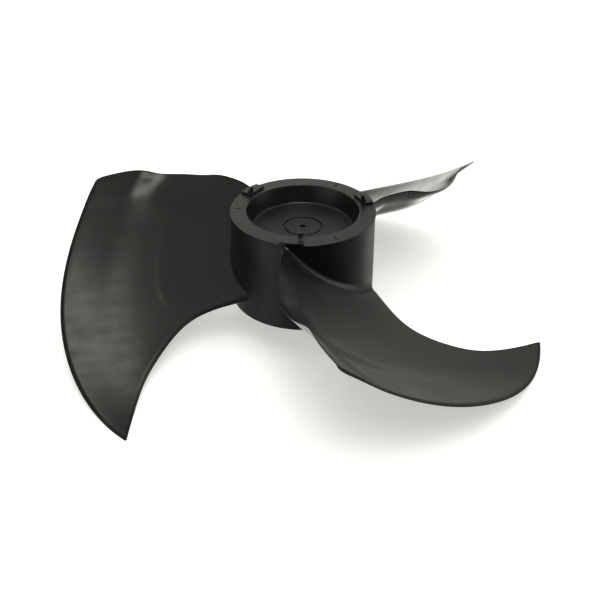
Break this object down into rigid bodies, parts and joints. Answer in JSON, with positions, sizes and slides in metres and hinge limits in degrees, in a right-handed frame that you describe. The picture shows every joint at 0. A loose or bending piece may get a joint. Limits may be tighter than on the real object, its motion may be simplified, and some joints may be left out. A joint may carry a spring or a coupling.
{
  "type": "axial fan impeller",
  "caption": "Black plastic axial fan with swept, cambered blades around a hollow cylindrical hub that has a recessed cup, a D-bored shaft boss and stacking lugs.",
  "frame": {"origin": "on the shaft axis, at the level of the blade tips that the fan stands on", "axes": "+Z along the shaft axis, the way the air leaves, up when the fan lies on its tips; -X towards blade_1, and -Y is the side that the picture was taken from"},
  "size_m": [0.5473, 0.5457, 0.1564],
  "materials": {
    "blade_plastic": "satin black moulded plastic with faint flow marks",
    "hub_plastic": "satin black moulded plastic",
    "inner_plastic": "plain black moulded plastic"
  },
  "bodies": {
    "root": {"top_ring": "hub_plastic", "outer_wall": "hub_plastic", "cup_wall": "hub_plastic", "cup_floor": "hub_plastic", "shaft_boss": "inner_plastic", "rib_1": "inner_plastic", "rib_2": "inner_plastic", "rib_3": "inner_plastic", "rib_4": "inner_plastic", "rib_5": "inner_plastic", "rib_6": "inner_plastic", "stacking_pad_1": "hub_plastic", "stacking_pad_2": "hub_plastic", "stacking_pad_3": "hub_plastic", "stacking_tab_1": "hub_plastic", "stacking_tab_2": "hub_plastic", "stacking_tab_3": "hub_plastic", "blade_1": "blade_plastic", "blade_2": "blade_plastic", "blade_3": "blade_plastic"}
  },
  "joints": []
}
